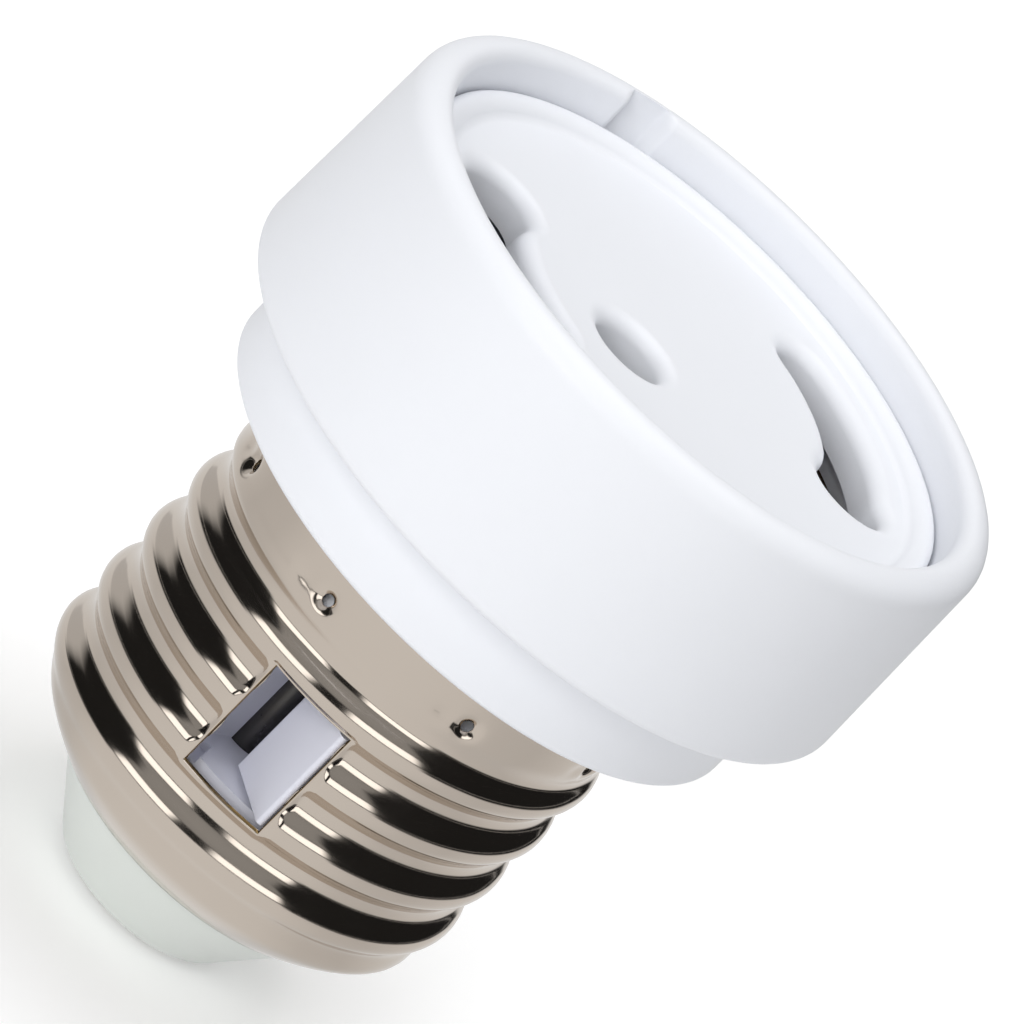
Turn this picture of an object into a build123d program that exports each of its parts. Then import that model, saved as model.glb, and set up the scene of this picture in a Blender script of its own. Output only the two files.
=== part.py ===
from build123d import *
import math
import os

os.makedirs("parts", exist_ok=True)

# Heights along the axis, from the bottom up
contact_proud = 0.5
tip_height = 5.2
shell_height = 22.3
collar_height = 5.1
head_height = 13.25
recess_depth = 2.85

# General clearances
fit_gap = 0.1
free_gap = 0.3
bolt_gap = 0.05

# Screw shell
shell_wall = 0.35
lip_r = 9.6
flare_height = 3.4
crest_r = 13.1
thread_depth = 0.82
thread_pitch = 3.63
crest_rise = 4.5
fade_in_rise = 1.6
fade_in_height = 2.8
fade_out_drop = 6.6
fade_out_height = 2.6
skirt_step = 0.3
section_step = 0.36
lip_points = 6
window_width = 5.4
window_height = 7.35
window_rise = 7.35
window_corner = 0.3
stake_count = 8
stake_r = 0.52
stake_drop = 3.2
stake_turn = -104.5
stake_depth = 0.5

# Tip insulator and centre contact
tip_bottom_r = 5.4
tip_round = 0.9
tip_floor = 3.3
tip_flange_gap = 1.03
tip_neck = 0.3
tip_flange_top = 3.8
tip_well_r = 8.5
tip_well_depth = 2.6
tip_well_floor_r = 4.4
contact_r = 3.6
contact_round = 0.3
shank_r = 1.6
shank_head_r = 2.2
shank_head_height = 0.6
washer_r = 3.2
washer_height = 0.5

# Housing
collar_round = 0.5
collar_wall = 2.0
head_draft = 0.42
head_round = 0.8
housing_floor = 1.8
rim_width = 2.6
rim_outer_round = 1.45
rim_flat = 0.1
sleeve_length = 4.6
sleeve_wall = 1.2
notch_turn = 125.0
notch_width = 2.8
notch_depth = 0.8
notch_height = 3.0

# Socket face
face_gap = 0.12
face_plate = 2.8
face_wall = 1.4
face_land = 0.08
pin_offset = 12.0
pin_edge = 4.63
entry_turn = 14.0
entry_r = 2.55
slot_turn = 51.3
slot_width = 3.3
slot_round = 0.65
cusp_round = 1.2
access_r = 2.2
key_gap = 0.15

# Core block
core_gap = 0.1
core_flange_height = 2.0
pillar_width = 4.5
pillar_gap = 0.5
pillar_start = 66.0
pillar_span = 26.0
pillar_height = 5.1
post_r = 2.0
post_offset = 9.0
post_turn = 120.0

# Contacts, their screws and the leads
strip_inset = 2.4
strip_overhang = 0.1
strip_width = 4.5
strip_height = 0.5
strip_start = -5.0
strip_span = 96.0
leaf_height = 3.2
tab_width = 2.4
tab_drop = 3.0
lead_offset = 7.5
screw_turn = 80.0
screw_r = 1.1
screw_length = 4.0
screw_head_r = 1.8
screw_head_height = 1.3
screw_head_round = 0.4
screw_slot_width = 0.6
screw_slot_depth = 0.7
lead_r = 0.8
lead_gap = 0.3
lead_bend = 2.0
centre_lead_drop = 1.9
shell_lead_drop = 6.0
keyway_drop = 8.0
solder_r = 1.3
solder_length = 0.9

# Lock
shaft_x = -1.4
shaft_y = -4.9
shaft_r = 1.5
shaft_gap = 0.05
shaft_foot = 1.6
shaft_head_r = 2.3
shaft_head_height = 2.2
shaft_head_round = 0.3
shaft_slot_width = 0.8
shaft_slot_depth = 1.0
lock_washer_r = 2.6
lock_washer_height = 0.4
hub_r = 2.6
pawl_face = 0.8
pawl_tip_x = 2.4
pawl_tip_inset = 0.29
pawl_back_x = 2.9
pawl_nose = 1.3
pawl_slope = 3.6
pawl_round = 0.25
pawl_pin_r = 0.5
pocket_left = 3.0
pocket_right = 3.4
pocket_bend_y = -9.2
pocket_bend_x = 0.28
pocket_corner_turn = 19.0
channel_depth = 0.5
ledge_left = 2.2
ledge_y = -8.9

# Levels that follow from the sizes above
tip_z = contact_proud
lip_z = tip_z + tip_height
collar_z = lip_z + shell_height
head_z = collar_z + collar_height
top_z = head_z + head_height
face_z = top_z - recess_depth
plate_z = face_z - face_plate
collar_floor_z = collar_z + housing_floor
head_floor_z = head_z + housing_floor
core_z = lip_z + tip_flange_top
core_top_z = collar_floor_z + core_flange_height
contact_z = core_top_z + pillar_height
thread_z = lip_z + fade_in_rise
skirt_z = collar_z - fade_out_drop + fade_out_height
window_z = lip_z + window_rise
stake_z = collar_z - stake_drop
sleeve_z = collar_z - sleeve_length

# Radii that follow
thread_mean_r = crest_r - thread_depth / 2
shell_root_r = crest_r - thread_depth - shell_wall
skirt_r = crest_r - skirt_step
sleeve_r = skirt_r - shell_wall - fit_gap
sleeve_bore_r = sleeve_r - sleeve_wall
core_r = sleeve_bore_r - core_gap
face_r = pin_offset + pin_edge
face_round = pin_edge - entry_r - slot_round - face_land
rim_inner_r = face_r + face_gap
rim_inner_round = rim_width - rim_outer_round - rim_flat
head_top_r = rim_inner_r + rim_width
head_bottom_r = head_top_r + head_draft
strip_inner_r = pin_offset - strip_inset
strip_outer_r = strip_inner_r + strip_width
pillar_inner_r = strip_inner_r + strip_overhang
pillar_outer_r = pillar_inner_r + pillar_width
collar_bore_r = pillar_outer_r + pillar_gap
collar_r = collar_bore_r + collar_wall
core_flange_r = collar_bore_r - core_gap
screw_offset = strip_inner_r + screw_head_r
tip_shoulder_r = lip_r - shell_wall - fit_gap
tip_flange_r = shell_root_r - tip_flange_gap
tip_well_z = core_z - tip_well_depth
tip_floor_z = tip_z + tip_floor
key_height = notch_height - face_round - key_gap
key_z = face_z - face_round - key_height / 2
ear_length = strip_inner_r + strip_height - lead_offset
screw_seat_z = contact_z + strip_height
tab_z = contact_z - tab_drop
rivet_z = tip_floor_z + washer_height + shank_head_height
shell_lead_z = collar_z - shell_lead_drop
keyway_z = collar_z - keyway_drop
lead_end_r = shell_root_r - solder_length
shaft_z = core_z + shaft_foot
shaft_seat_z = core_top_z + lock_washer_height
pawl_face_x = shaft_x + pawl_face
pawl_tip_y = pawl_tip_inset - thread_mean_r
pawl_back_y = pawl_tip_y + pawl_nose
pawl_heel_y = pawl_tip_y + pawl_slope
pocket_corner_x = shaft_x - (shaft_r + shaft_gap) * math.sin(math.radians(pocket_corner_turn))
pocket_corner_y = shaft_y - (shaft_r + shaft_gap) * math.cos(math.radians(pocket_corner_turn))
pocket_mid_x = (pocket_corner_x - pocket_left) / 2 - pocket_bend_x
pocket_mid_y = (pocket_corner_y + pocket_bend_y) / 2
pin_plane = Plane(
    origin=(shaft_x - shaft_r + free_gap, shaft_y, window_z + window_height / 2),
    x_dir=(0, 1, 0),
    z_dir=(1, 0, 0),
)


def smooth(share):
    held = min(max(share, 0.0), 1.0)
    return held * held * (3.0 - 2.0 * held)


def shell_radius(z):
    flare = math.sin(math.pi / 2 * min((z - lip_z) / flare_height, 1.0))
    blend = smooth((z - collar_z + fade_out_drop) / fade_out_height)
    return lip_r + (thread_mean_r - lip_r) * flare + (skirt_r - thread_mean_r) * blend


def ridge_height(z):
    grown = smooth((z - lip_z - fade_in_rise) / fade_in_height)
    faded = smooth((z - collar_z + fade_out_drop) / fade_out_height)
    return thread_depth / 2 * grown * (1.0 - faded)


def ridge_centre(z):
    turn = math.radians((z - lip_z - crest_rise) / thread_pitch * 360.0 - 90.0)
    return ridge_height(z) * math.cos(turn), ridge_height(z) * math.sin(turn)


def polar(radius, turn, z=0.0):
    return radius * math.cos(math.radians(turn)), radius * math.sin(math.radians(turn)), z


def radial_plane(radius, turn, z):
    return Plane(origin=polar(radius, turn, z), x_dir=(0, 0, 1), z_dir=polar(1, turn))


def side_plane(turn):
    return Plane(origin=(0, 0, 0), x_dir=polar(1, turn), z_dir=polar(1, turn - 90))


# Screw shell: a turned lip, then a rolled thread of circles whose centres wander round the axis
section_count = round((skirt_z - thread_z) / section_step)
section_levels = [thread_z + (skirt_z - thread_z) * k / section_count for k in range(section_count + 1)]
lip_levels = [lip_z + fade_in_rise * k / lip_points for k in range(lip_points + 1)]
stake_planes = [
    radial_plane(sleeve_r - stake_depth, stake_turn + 360 / stake_count * k, stake_z)
    for k in range(stake_count)
]

with BuildPart() as screw_shell:
    for level in section_levels:
        with BuildSketch(Plane.XY.offset(level)):
            with Locations(ridge_centre(level)):
                Circle(shell_radius(level))
    loft()
    for level in section_levels:
        with BuildSketch(Plane.XY.offset(level)):
            with Locations(ridge_centre(level)):
                Circle(shell_radius(level) - shell_wall)
    loft(mode=Mode.SUBTRACT)
    with BuildSketch(Plane.XZ):
        with BuildLine():
            Spline(*[(shell_radius(level), level) for level in lip_levels])
            Spline(*[(shell_radius(level) - shell_wall, level) for level in lip_levels])
            Line((lip_r - shell_wall, lip_z), (lip_r, lip_z))
            Line((shell_radius(thread_z) - shell_wall, thread_z), (shell_radius(thread_z), thread_z))
        make_face()
    revolve(axis=Axis.Z)
    with BuildSketch(Plane.XY.offset(skirt_z)):
        Circle(skirt_r)
        Circle(skirt_r - shell_wall, mode=Mode.SUBTRACT)
    extrude(amount=collar_z - skirt_z)
    with BuildSketch(Plane.XZ.offset(lip_r)):
        with Locations((0, window_z + window_height / 2)):
            RectangleRounded(window_width, window_height, window_corner)
    extrude(amount=crest_r, mode=Mode.SUBTRACT)
    with BuildSketch(*stake_planes):
        Circle(stake_r)
    extrude(amount=skirt_r - sleeve_r + 2 * stake_depth, mode=Mode.SUBTRACT)
screw_shell.part.label = "screw_shell"
export_step(screw_shell.part, "parts/screw_shell.step")

# Tip insulator
with BuildPart() as tip_insulator:
    with BuildSketch(Plane.XZ) as tip_profile:
        with BuildLine():
            Polyline(
                (shank_r + bolt_gap, tip_z),
                (tip_bottom_r, tip_z),
                (tip_shoulder_r, lip_z),
                (tip_shoulder_r, lip_z + tip_neck),
                (tip_flange_r, lip_z + tip_neck + tip_flange_r - tip_shoulder_r),
                (tip_flange_r, core_z),
                (tip_well_r, core_z),
                (tip_well_r, tip_well_z),
                (tip_well_floor_r, tip_floor_z),
                (shank_r + bolt_gap, tip_floor_z),
                close=True,
            )
        make_face()
        fillet(tip_profile.vertices().group_by(Axis.Y)[0].sort_by(Axis.X)[-1], tip_round)
    revolve(axis=Axis.Z)
tip_insulator.part.label = "tip_insulator"
export_step(tip_insulator.part, "parts/tip_insulator.step")

# Centre contact, clenched over its washer inside the tip
with BuildPart() as centre_contact:
    with BuildSketch(Plane.XZ) as button_profile:
        with BuildLine():
            Polyline(
                (0, 0),
                (contact_r, 0),
                (contact_r, tip_z),
                (shank_r, tip_z),
                (shank_r, tip_floor_z + washer_height),
                (shank_head_r, tip_floor_z + washer_height),
                (shank_head_r, tip_floor_z + washer_height + shank_head_height),
                (0, tip_floor_z + washer_height + shank_head_height),
                close=True,
            )
        make_face()
        fillet(button_profile.vertices().group_by(Axis.Y)[0].sort_by(Axis.X)[-1], contact_round)
    revolve(axis=Axis.Z)
centre_contact.part.label = "centre_contact"
export_step(centre_contact.part, "parts/centre_contact.step")

with BuildPart() as contact_washer:
    with BuildSketch(Plane.XY.offset(tip_floor_z)):
        Circle(washer_r)
        Circle(shank_r + bolt_gap, mode=Mode.SUBTRACT)
    extrude(amount=washer_height)
contact_washer.part.label = "contact_washer"
export_step(contact_washer.part, "parts/contact_washer.step")

# Housing: head, collar and the sleeve that the shell is staked to
with BuildPart() as housing:
    with BuildSketch(Plane.XZ) as housing_profile:
        with BuildLine():
            Polyline(
                (sleeve_bore_r, sleeve_z),
                (sleeve_r, sleeve_z),
                (sleeve_r, collar_z),
                (collar_r, collar_z),
                (collar_r, head_z),
                (head_bottom_r, head_z),
                (head_top_r, top_z),
                (rim_inner_r, top_z),
                (rim_inner_r, head_floor_z),
                (collar_bore_r, head_floor_z),
                (collar_bore_r, collar_floor_z),
                (sleeve_bore_r, collar_floor_z),
                close=True,
            )
        make_face()
        fillet(housing_profile.vertices().group_by(Axis.Y)[-1].sort_by(Axis.X)[-1], rim_outer_round)
        fillet(housing_profile.vertices().group_by(Axis.Y)[-1].sort_by(Axis.X)[0], rim_inner_round)
        fillet(housing_profile.vertices().sort_by_distance((head_bottom_r, head_z))[0], head_round)
        fillet(housing_profile.vertices().sort_by_distance((collar_r, collar_z))[0], collar_round)
    revolve(axis=Axis.Z)
    with BuildSketch(radial_plane(rim_inner_r - notch_depth, notch_turn, top_z)):
        Rectangle(2 * (recess_depth + notch_height), notch_width)
    extrude(amount=2 * notch_depth, mode=Mode.SUBTRACT)
    with BuildSketch(*stake_planes):
        Circle(stake_r)
    extrude(amount=2 * stake_depth, mode=Mode.SUBTRACT)
housing.part.label = "housing"
export_step(housing.part, "parts/housing.step")

# Socket face: the insert with the two keyhole slots and the access hole of the lock
cusps = []
for cusp_r in (pin_offset - slot_width / 2, pin_offset + slot_width / 2):
    cusp_share = (pin_offset ** 2 + cusp_r ** 2 - entry_r ** 2) / (2 * pin_offset * cusp_r)
    cusp_turn = entry_turn + math.degrees(math.acos(cusp_share))
    cusps += [polar(cusp_r, cusp_turn), polar(cusp_r, cusp_turn + 180)]

with BuildPart() as socket_face:
    with BuildSketch(Plane.XZ) as face_profile:
        with BuildLine():
            Polyline(
                (0, plate_z),
                (face_r - face_wall, plate_z),
                (face_r - face_wall, head_floor_z),
                (face_r, head_floor_z),
                (face_r, face_z),
                (0, face_z),
                close=True,
            )
        make_face()
        fillet(face_profile.vertices().group_by(Axis.Y)[-1].sort_by(Axis.X)[-1], face_round)
    revolve(axis=Axis.Z)
    with BuildSketch(radial_plane(face_r - face_wall / 2, notch_turn, key_z)):
        Rectangle(key_height, notch_width - 2 * key_gap)
    extrude(amount=face_wall / 2 + face_gap + notch_depth - key_gap)
    with BuildSketch(Plane.XY.offset(face_z)) as keyholes:
        for half_turn in (0, 180):
            with Locations(polar(pin_offset, entry_turn + half_turn)):
                Circle(entry_r)
            SlotArc(CenterArc((0, 0), pin_offset, entry_turn + half_turn, slot_turn), slot_width)
        for cusp in cusps:
            fillet(keyholes.vertices().sort_by_distance(cusp)[0], cusp_round)
    extrude(amount=-face_plate, mode=Mode.SUBTRACT)
    with BuildSketch(Plane.XY.offset(face_z)):
        with Locations((shaft_x, shaft_y)):
            Circle(access_r)
    extrude(amount=-face_plate, mode=Mode.SUBTRACT)
    top_face = socket_face.faces().filter_by(Axis.Z).sort_by(Axis.Z)[-1]
    fillet(top_face.inner_wires().edges(), slot_round)
socket_face.part.label = "socket_face"
export_step(socket_face.part, "parts/socket_face.step")

# Core block: carries the contacts, the leads and the lock
with BuildPart() as core_block:
    with BuildSketch(Plane.XY.offset(core_z)):
        Circle(core_r)
    extrude(amount=core_top_z - core_z)
    with BuildSketch(Plane.XY.offset(collar_floor_z)):
        Circle(core_flange_r)
    extrude(amount=core_flange_height)
    for half_turn in (0, 180):
        with BuildSketch(side_plane(pillar_start + half_turn)):
            with Locations(((pillar_inner_r + pillar_outer_r) / 2, core_top_z)):
                Rectangle(pillar_outer_r - pillar_inner_r, pillar_height, align=(Align.CENTER, Align.MIN))
        revolve(axis=Axis.Z, revolution_arc=pillar_span)
    with BuildSketch(Plane.XY.offset(core_top_z)):
        with Locations(polar(post_offset, post_turn), polar(post_offset, post_turn + 180)):
            Circle(post_r)
    extrude(amount=plate_z - core_top_z)
    with BuildSketch(Plane.XY.offset(contact_z)):
        with Locations(polar(screw_offset, screw_turn), polar(screw_offset, screw_turn + 180)):
            Circle(screw_r + bolt_gap)
    extrude(amount=-screw_length, mode=Mode.SUBTRACT)
    with BuildSketch(Plane.XY.offset(window_z)):
        with Locations((shaft_x, shaft_y)):
            Circle(hub_r + free_gap)
        with Locations((pawl_face_x - free_gap, shaft_y)):
            Rectangle(4 * hub_r, 4 * hub_r, align=(Align.MAX, Align.CENTER), mode=Mode.SUBTRACT)
        with BuildLine():
            Polyline(
                (pocket_corner_x, pocket_corner_y),
                (pawl_face_x - free_gap, shaft_y),
                (shaft_x + hub_r + free_gap, shaft_y),
                (pocket_right, pawl_back_y),
                (pocket_right, -crest_r),
                (-pocket_left, -crest_r),
                (-pocket_left, pocket_bend_y),
            )
            ThreePointArc(
                (-pocket_left, pocket_bend_y),
                (pocket_mid_x, pocket_mid_y),
                (pocket_corner_x, pocket_corner_y),
            )
        make_face()
    extrude(amount=window_height, mode=Mode.SUBTRACT)
    with BuildSketch(Plane.XY.offset(window_z)):
        with Locations((-pocket_left, -crest_r)):
            Rectangle(pocket_left - ledge_left, crest_r + ledge_y, align=(Align.MIN, Align.MIN))
    extrude(amount=-channel_depth, mode=Mode.SUBTRACT)
    with BuildSketch(Plane.XY.offset(core_top_z)):
        with Locations((shaft_x, shaft_y)):
            Circle(shaft_r + shaft_gap)
    extrude(amount=-(core_top_z - shaft_z + free_gap), mode=Mode.SUBTRACT)
    with BuildSketch(Plane.XY.offset(core_top_z)):
        with Locations((lead_offset, 0)):
            Circle(lead_r + lead_gap)
    extrude(amount=-(core_top_z - core_z), mode=Mode.SUBTRACT)
    with BuildSketch(Plane.XY.offset(core_top_z)):
        with Locations((-lead_offset + lead_r + lead_gap, 0)):
            Rectangle(core_r, 2 * (lead_r + lead_gap), align=(Align.MAX, Align.CENTER))
    extrude(amount=-(core_top_z - keyway_z), mode=Mode.SUBTRACT)
core_block.part.label = "core_block"
export_step(core_block.part, "parts/core_block.step")

# Contacts: spring strips under the slots, each with a leaf beside the pin's path
with BuildPart() as right_contact:
    with BuildSketch(side_plane(strip_start)):
        with Locations((strip_inner_r, contact_z)):
            Rectangle(strip_width, strip_height, align=(Align.MIN, Align.MIN))
        with Locations((strip_outer_r, contact_z)):
            Rectangle(strip_height, leaf_height, align=(Align.MAX, Align.MIN))
    revolve(axis=Axis.Z, revolution_arc=strip_span)
    with BuildSketch(Plane.XY.offset(contact_z)):
        with Locations((lead_offset - strip_height / 2, 0)):
            Rectangle(ear_length, tab_width, align=(Align.MIN, Align.CENTER))
    extrude(amount=strip_height)
    with BuildSketch(Plane.XY.offset(contact_z)):
        with Locations((lead_offset, 0)):
            Rectangle(strip_height, tab_width)
    extrude(amount=-tab_drop)
    with BuildSketch(Plane.XY.offset(contact_z)):
        with Locations(polar(screw_offset, screw_turn)):
            Circle(screw_r + bolt_gap)
    extrude(amount=strip_height, mode=Mode.SUBTRACT)
right_contact.part.label = "right_contact"
export_step(right_contact.part, "parts/right_contact.step")

with BuildPart() as left_contact:
    with BuildSketch(side_plane(strip_start + 180)):
        with Locations((strip_inner_r, contact_z)):
            Rectangle(strip_width, strip_height, align=(Align.MIN, Align.MIN))
        with Locations((strip_outer_r, contact_z)):
            Rectangle(strip_height, leaf_height, align=(Align.MAX, Align.MIN))
    revolve(axis=Axis.Z, revolution_arc=strip_span)
    with BuildSketch(Plane.XY.offset(contact_z)):
        with Locations((strip_height / 2 - lead_offset, 0)):
            Rectangle(ear_length, tab_width, align=(Align.MAX, Align.CENTER))
    extrude(amount=strip_height)
    with BuildSketch(Plane.XY.offset(contact_z)):
        with Locations((-lead_offset, 0)):
            Rectangle(strip_height, tab_width)
    extrude(amount=-tab_drop)
    with BuildSketch(Plane.XY.offset(contact_z)):
        with Locations(polar(screw_offset, screw_turn + 180)):
            Circle(screw_r + bolt_gap)
    extrude(amount=strip_height, mode=Mode.SUBTRACT)
left_contact.part.label = "left_contact"
export_step(left_contact.part, "parts/left_contact.step")

# Contact screws
with BuildPart() as right_contact_screw:
    with BuildSketch(Plane.XY.offset(screw_seat_z)):
        with Locations(polar(screw_offset, screw_turn)):
            Circle(screw_head_r)
    extrude(amount=screw_head_height)
    fillet(right_contact_screw.edges().sort_by(Axis.Z)[-1], screw_head_round)
    with BuildSketch(Plane.XY.offset(screw_seat_z)):
        with Locations(polar(screw_offset, screw_turn)):
            Circle(screw_r)
    extrude(amount=-(screw_length - bolt_gap))
    with BuildSketch(Plane.XY.offset(screw_seat_z + screw_head_height)):
        with Locations(polar(screw_offset, screw_turn)):
            Rectangle(2 * screw_head_r, screw_slot_width)
    extrude(amount=-screw_slot_depth, mode=Mode.SUBTRACT)
right_contact_screw.part.label = "right_contact_screw"
export_step(right_contact_screw.part, "parts/right_contact_screw.step")

with BuildPart() as left_contact_screw:
    with BuildSketch(Plane.XY.offset(screw_seat_z)):
        with Locations(polar(screw_offset, screw_turn + 180)):
            Circle(screw_head_r)
    extrude(amount=screw_head_height)
    fillet(left_contact_screw.edges().sort_by(Axis.Z)[-1], screw_head_round)
    with BuildSketch(Plane.XY.offset(screw_seat_z)):
        with Locations(polar(screw_offset, screw_turn + 180)):
            Circle(screw_r)
    extrude(amount=-(screw_length - bolt_gap))
    with BuildSketch(Plane.XY.offset(screw_seat_z + screw_head_height)):
        with Locations(polar(screw_offset, screw_turn + 180)):
            Rectangle(2 * screw_head_r, screw_slot_width)
    extrude(amount=-screw_slot_depth, mode=Mode.SUBTRACT)
left_contact_screw.part.label = "left_contact_screw"
export_step(left_contact_screw.part, "parts/left_contact_screw.step")

# Leads: one to the centre contact, one to the shell
with BuildPart() as centre_lead:
    with BuildLine():
        FilletPolyline(
            (lead_offset, 0, tab_z),
            (lead_offset, 0, core_z - centre_lead_drop),
            (0, 0, core_z - centre_lead_drop),
            (0, 0, rivet_z),
            radius=lead_bend,
        )
    with BuildSketch(Plane(origin=(lead_offset, 0, tab_z), z_dir=(0, 0, -1))):
        Circle(lead_r)
    sweep()
centre_lead.part.label = "centre_lead"
export_step(centre_lead.part, "parts/centre_lead.step")

with BuildPart() as shell_lead:
    with BuildLine():
        FilletPolyline(
            (-lead_offset, 0, tab_z),
            (-lead_offset, 0, shell_lead_z),
            (-lead_end_r, 0, shell_lead_z),
            radius=lead_bend,
        )
    with BuildSketch(Plane(origin=(-lead_offset, 0, tab_z), z_dir=(0, 0, -1))):
        Circle(lead_r)
    sweep()
shell_lead.part.label = "shell_lead"
export_step(shell_lead.part, "parts/shell_lead.step")

with BuildPart() as shell_solder:
    with BuildSketch(radial_plane(lead_end_r, 180, shell_lead_z)):
        Circle(solder_r)
    extrude(amount=solder_length)
    fillet(shell_solder.edges().sort_by(Axis.X)[-1], solder_length / 2)
shell_solder.part.label = "shell_solder"
export_step(shell_solder.part, "parts/shell_solder.step")

# Lock: the slotted shaft under the access hole, its washer, the pawl and the cross pin
with BuildPart() as lock_shaft:
    with BuildSketch(Plane.XY.offset(shaft_z)):
        with Locations((shaft_x, shaft_y)):
            Circle(shaft_r)
    extrude(amount=shaft_seat_z - shaft_z)
    with BuildSketch(Plane.XY.offset(shaft_seat_z)):
        with Locations((shaft_x, shaft_y)):
            Circle(shaft_head_r)
    extrude(amount=shaft_head_height)
    fillet(lock_shaft.edges().sort_by(Axis.Z)[-1], shaft_head_round)
    with BuildSketch(Plane.XY.offset(shaft_seat_z + shaft_head_height)):
        with Locations((shaft_x, shaft_y)):
            Rectangle(2 * shaft_head_r, shaft_slot_width)
    extrude(amount=-shaft_slot_depth, mode=Mode.SUBTRACT)
    with BuildSketch(pin_plane):
        Circle(pawl_pin_r + bolt_gap)
    extrude(amount=2 * shaft_r, mode=Mode.SUBTRACT)
lock_shaft.part.label = "lock_shaft"
export_step(lock_shaft.part, "parts/lock_shaft.step")

with BuildPart() as lock_washer:
    with BuildSketch(Plane.XY.offset(core_top_z)):
        with Locations((shaft_x, shaft_y)):
            Circle(lock_washer_r)
            Circle(shaft_r + shaft_gap, mode=Mode.SUBTRACT)
    extrude(amount=lock_washer_height)
lock_washer.part.label = "lock_washer"
export_step(lock_washer.part, "parts/lock_washer.step")

pawl_corners = [(pawl_face_x, pawl_heel_y), (pawl_tip_x, pawl_tip_y), (pawl_back_x, pawl_back_y)]

with BuildPart() as lock_pawl:
    with BuildSketch(Plane.XY.offset(window_z + free_gap)) as pawl_plan:
        with Locations((shaft_x, shaft_y)):
            Circle(hub_r)
        with BuildLine():
            Polyline(
                (pawl_face_x, shaft_y),
                *pawl_corners,
                (shaft_x + hub_r, shaft_y),
                close=True,
            )
        make_face()
        with Locations((pawl_face_x, shaft_y)):
            Rectangle(4 * hub_r, 4 * hub_r, align=(Align.MAX, Align.CENTER), mode=Mode.SUBTRACT)
        with Locations((shaft_x, shaft_y)):
            Circle(shaft_r + bolt_gap, mode=Mode.SUBTRACT)
        for corner in pawl_corners:
            fillet(pawl_plan.vertices().sort_by_distance(corner)[0], pawl_round)
    extrude(amount=window_height - 2 * free_gap)
    with BuildSketch(pin_plane):
        Circle(pawl_pin_r + bolt_gap)
    extrude(amount=2 * hub_r, mode=Mode.SUBTRACT)
lock_pawl.part.label = "lock_pawl"
export_step(lock_pawl.part, "parts/lock_pawl.step")

with BuildPart() as pawl_pin:
    with BuildSketch(pin_plane):
        Circle(pawl_pin_r)
    extrude(amount=shaft_r + hub_r - 2 * free_gap)
pawl_pin.part.label = "pawl_pin"
export_step(pawl_pin.part, "parts/pawl_pin.step")
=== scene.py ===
"""Lamp socket adapter: its finishes, its remade shell, housing and face, and its stage, as an add-on."""

import math

import bmesh
import bpy
from bpy.props import FloatProperty, FloatVectorProperty, IntProperty, PointerProperty
from mathutils import Matrix, Vector, noise


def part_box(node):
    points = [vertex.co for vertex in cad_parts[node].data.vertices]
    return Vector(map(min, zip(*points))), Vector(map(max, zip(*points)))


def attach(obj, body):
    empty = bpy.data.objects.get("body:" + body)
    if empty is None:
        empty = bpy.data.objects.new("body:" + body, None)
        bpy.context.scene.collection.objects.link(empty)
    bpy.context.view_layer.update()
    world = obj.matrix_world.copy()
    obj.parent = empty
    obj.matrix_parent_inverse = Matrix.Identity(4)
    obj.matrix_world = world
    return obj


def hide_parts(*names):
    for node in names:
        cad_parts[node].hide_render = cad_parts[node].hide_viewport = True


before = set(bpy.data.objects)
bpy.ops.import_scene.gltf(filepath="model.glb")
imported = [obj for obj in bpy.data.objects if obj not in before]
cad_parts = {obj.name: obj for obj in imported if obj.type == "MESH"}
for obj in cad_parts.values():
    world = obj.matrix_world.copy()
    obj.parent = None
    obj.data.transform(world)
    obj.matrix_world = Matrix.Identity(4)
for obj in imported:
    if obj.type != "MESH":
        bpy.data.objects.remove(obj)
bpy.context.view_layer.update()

bl_info = {
    "name": "Lamp socket adapter",
    "version": (1, 0, 0),
    "blender": (4, 5, 0),
    "location": "View3D > Sidebar > Adapter",
    "description": "Finishes the pieces of a lamp socket adapter and sets its stage",
    "category": "Object",
}

MM = 0.001

MERGE = 0.001 * MM  # points closer than this are one
SLACK = 0.01 * MM  # tolerance for points on the rim's inner wall
NOTCH_STEP = 0.05 * MM  # height over which the notch's floor meets the wall below it
SUPPORT = 0.02 * MM  # flat band before a rounded edge, which keeps the shading of the flat face even
SHARP = math.radians(35)  # edges that turn more than this stay sharp
ROUND_STEPS = 8  # faces across a rounded edge
REFINED_REACHES = (2.0, 1.3)  # reach of each refinement round a stake, in dent radii
REFINED_CUTS = 2  # cuts across each edge in a refinement

# Faces round a keyhole: its round end, its inner side, its narrow end and its outer side
ENTRY_STEPS, INNER_STEPS, END_STEPS, OUTER_STEPS = 40, 12, 24, 14
ACCESS_STEPS = 48  # faces round the hole over the lock

# Level bearings in the studio, and the cosines from them between which each sector begins
FRONT = (0, -1, 0)
FRONT_EDGE = (0.56, 0.66)
BACKDROP = (-0.5, 0.866, 0.0)
BACKDROP_EDGE = (0.72, 0.9)

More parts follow.
